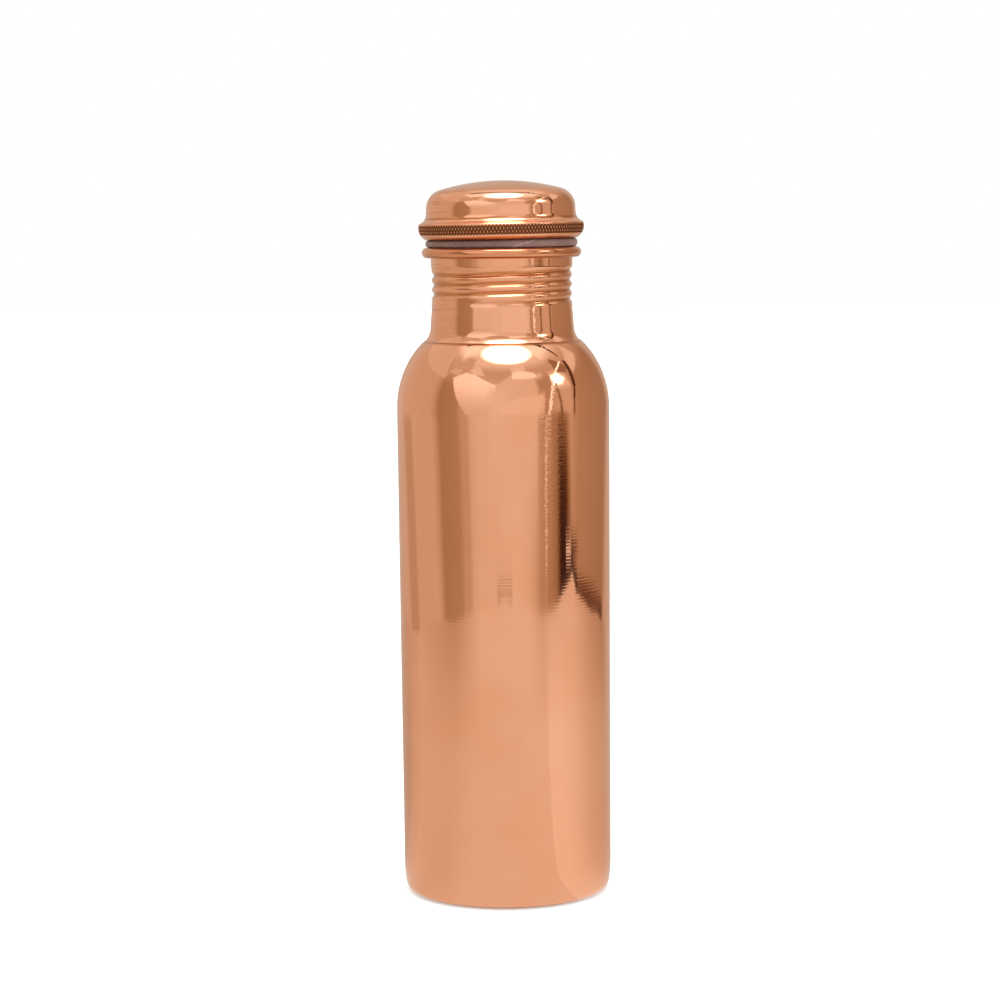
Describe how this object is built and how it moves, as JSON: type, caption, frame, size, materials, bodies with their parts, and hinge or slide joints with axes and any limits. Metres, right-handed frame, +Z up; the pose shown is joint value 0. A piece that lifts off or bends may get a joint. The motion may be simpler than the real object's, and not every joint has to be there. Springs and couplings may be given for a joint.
{
  "type": "copper water bottle",
  "caption": "Slim cylindrical copper water bottle with a rounded shoulder, a threaded neck and a domed screw lid with a gasket.",
  "frame": {"origin": "on the bottle's axis, on the plane that its foot ring stands on", "axes": "+Z up along the bottle's axis, towards the lid; +X to the right and +Y away, seen from the front"},
  "size_m": [0.0774, 0.0774, 0.26],
  "materials": {
    "polished_copper": "mirror-polished copper sheet with fine polishing lines around the axis",
    "plain_copper": "plain copper sheet, less polished",
    "gasket": "smooth translucent silicone"
  },
  "bodies": {
    "bottle": {"body_shell": "polished_copper", "base_pan": "plain_copper", "neck_sleeve": "polished_copper"},
    "gasket": {"lid_gasket": "gasket"},
    "lid": {"cap_shell": "polished_copper", "plug_cup": "plain_copper"}
  },
  "joints": [
    {"name": "lid_rise", "type": "slide", "parent": "bottle", "child": "gasket", "axis": [0, 0, 1], "range_m": [0, 0.01701]},
    {"name": "lid_turn", "type": "hinge", "parent": "gasket", "child": "lid", "pos_m": [0, 0, 0.2374], "axis": [0, 0, 1], "range_deg": [0, 1800]}
  ],
  "couplings": [
    {"joint": "lid_rise", "follows": "lid_turn", "m_per_rad": 0.00054113}
  ]
}
